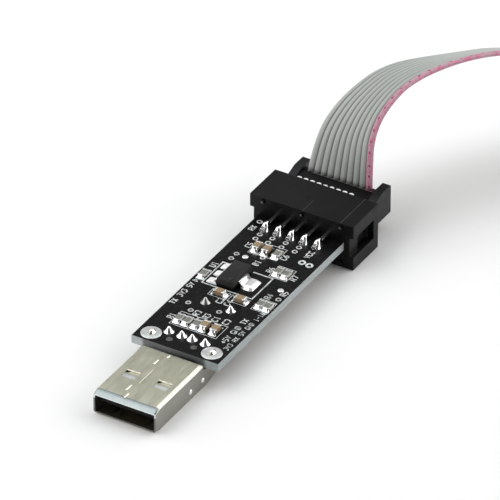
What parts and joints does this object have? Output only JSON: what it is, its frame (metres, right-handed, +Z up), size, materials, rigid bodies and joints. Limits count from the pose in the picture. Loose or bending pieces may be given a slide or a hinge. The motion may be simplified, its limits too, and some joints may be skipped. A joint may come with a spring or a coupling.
{
  "type": "usb microcontroller programmer",
  "caption": "Stick-shaped circuit board with a USB-A plug at one end and a shrouded pin header at the other, with a flat ribbon lead that unplugs.",
  "frame": {"origin": "under the middle of the board, plug, header and pushed-home near socket, on the surface they lie on", "axes": "+X along the board from the USB plug to the header, +Y to the left, +Z up from the component side"},
  "size_m": [0.1246, 0.1181, 0.0264],
  "materials": {
    "board": "glossy black solder resist",
    "plug_shell": "satin nickel plate",
    "plug_insulator": "moulded",
    "contact_metal": "gold flash",
    "solder": "bright solder",
    "header_plastic": "moulded",
    "pin_metal": "tinned",
    "package_plastic": "moulded epoxy",
    "resistor_black": "glazed",
    "capacitor_ceramic": "fired ceramic",
    "crystal_metal": "drawn steel can",
    "light_base": "white",
    "light_lens": "clear resin",
    "ribbon_grey": "ribbed grey insulation",
    "socket_plastic": "moulded",
    "relief_plastic": "moulded"
  },
  "bodies": {
    "programmer": {"capacitor_bodies": "capacitor_ceramic", "chip_metal_ends": "solder", "chip_solder": "solder", "circuit_board": "board", "crystal_base": "crystal_metal", "crystal_can": "crystal_metal", "crystal_leads": "pin_metal", "crystal_solder": "solder", "header_housing": "header_plastic", "header_pins": "pin_metal", "header_solder": "solder", "microcontroller_body": "package_plastic", "microcontroller_leads": "pin_metal", "regulator_body": "package_plastic", "regulator_leads": "pin_metal", "regulator_solder": "solder", "resistor_bodies": "resistor_black", "status_light_bases": "light_base", "status_light_lenses": "light_lens", "under_capacitor_bodies": "capacitor_ceramic", "usb_contact_solder": "solder", "usb_contacts": "contact_metal", "usb_insulator": "plug_insulator", "usb_shell": "plug_shell", "usb_shield_solder": "solder"},
    "lead": {"far_ribbon_fold": "ribbon_grey", "far_socket_body": "socket_plastic", "far_socket_cap": "socket_plastic", "far_socket_contacts": "contact_metal", "far_strain_relief": "relief_plastic", "near_ribbon_fold": "ribbon_grey", "near_socket_body": "socket_plastic", "near_socket_cap": "socket_plastic", "near_socket_contacts": "contact_metal", "near_strain_relief": "relief_plastic", "ribbon_cable": "ribbon_grey"}
  },
  "joints": [
    {"name": "lead_unplug", "type": "slide", "parent": "programmer", "child": "lead", "axis": [1, 0, 0], "range_m": [0, 0.01]}
  ]
}
